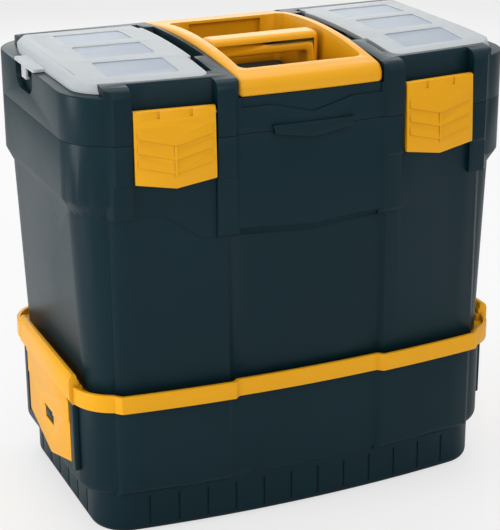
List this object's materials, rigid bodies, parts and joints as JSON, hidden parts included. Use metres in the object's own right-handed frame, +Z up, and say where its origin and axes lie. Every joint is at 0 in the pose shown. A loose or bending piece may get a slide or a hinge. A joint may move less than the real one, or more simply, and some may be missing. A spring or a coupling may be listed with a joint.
{
  "type": "toolbox with tray",
  "caption": "Tall carry toolbox: latched lid with small-parts organisers over a deep box with a lift-out tray, clipped to a lower container by side latches.",
  "frame": {"origin": "middle of the underside of the lower container, on the surface that it stands on", "axes": "+X to the right along the front, +Y from the front to the hinged back, +Z up"},
  "size_m": [0.444, 0.2844, 0.447],
  "materials": {
    "dark_shell": "fine matt moulded polypropylene",
    "accent": "satin moulded polypropylene",
    "cover": "translucent milky polypropylene, slightly glossy",
    "bin": "pale moulded polypropylene",
    "tray": "matt moulded polypropylene",
    "steel": "zinc-plated steel wire and screws"
  },
  "bodies": {
    "container": {"container_shell": "dark_shell"},
    "upper_box": {"box_shell": "dark_shell", "connecting_ring": "accent", "ring_screws": "steel", "side_latch_pins": "steel", "lid_hinge_pins": "steel"},
    "side_latch_left": {"side_latch_left": "accent"},
    "side_latch_right": {"side_latch_right": "accent"},
    "lid": {"lid_shell": "dark_shell", "handle_frame": "accent", "handle_grip": "accent", "handle_screws": "steel", "organiser_bin_left": "bin", "organiser_bin_right": "bin", "cover_hinge_pins": "steel", "front_latch_pins": "steel"},
    "tray": {"tool_tray": "tray", "tray_handle": "dark_shell", "tray_dividers": "tray"},
    "front_latch_left": {"front_latch_left": "accent"},
    "front_latch_right": {"front_latch_right": "accent"},
    "organiser_cover_left": {"organiser_cover_left": "cover"},
    "organiser_cover_right": {"organiser_cover_right": "cover"}
  },
  "joints": [
    {"name": "upper_box_lift", "type": "slide", "parent": "container", "child": "upper_box", "axis": [0, 0, 1], "range_m": [0, 0.12]},
    {"name": "side_latch_left_swing", "type": "hinge", "parent": "upper_box", "child": "side_latch_left", "pos_m": [-0.2165, -0.01, 0.1545], "axis": [0, 1, 0], "range_deg": [0, 75]},
    {"name": "side_latch_right_swing", "type": "hinge", "parent": "upper_box", "child": "side_latch_right", "pos_m": [0.2165, -0.01, 0.1545], "axis": [0, -1, 0], "range_deg": [0, 75]},
    {"name": "lid_hinge", "type": "hinge", "parent": "upper_box", "child": "lid", "pos_m": [0, 0.1342, 0.3842], "axis": [-1, 0, 0], "range_deg": [0, 100]},
    {"name": "tray_lift", "type": "slide", "parent": "upper_box", "child": "tray", "axis": [0, 0, 1], "range_m": [0, 0.07]},
    {"name": "front_latch_left_swing", "type": "hinge", "parent": "lid", "child": "front_latch_left", "pos_m": [-0.13017, -0.1331, 0.407], "axis": [-0.9955, 0.0951, 0], "range_deg": [0, 85]},
    {"name": "front_latch_right_swing", "type": "hinge", "parent": "lid", "child": "front_latch_right", "pos_m": [0.13017, -0.1331, 0.407], "axis": [-0.9955, -0.0951, 0], "range_deg": [0, 85]},
    {"name": "organiser_cover_left_swing", "type": "hinge", "parent": "lid", "child": "organiser_cover_left", "pos_m": [-0.0915, 0, 0.4363], "axis": [0, 1, 0], "range_deg": [0, 105]},
    {"name": "organiser_cover_right_swing", "type": "hinge", "parent": "lid", "child": "organiser_cover_right", "pos_m": [0.0915, 0, 0.4363], "axis": [0, -1, 0], "range_deg": [0, 105]}
  ],
  "couplings": [
    {"joint": "tray_lift", "follows": "lid_hinge", "m_per_rad": 0.0401},
    {"joint": "side_latch_left_swing", "follows": "upper_box_lift", "rad_per_m": 10.9},
    {"joint": "side_latch_right_swing", "follows": "upper_box_lift", "rad_per_m": 10.9}
  ]
}
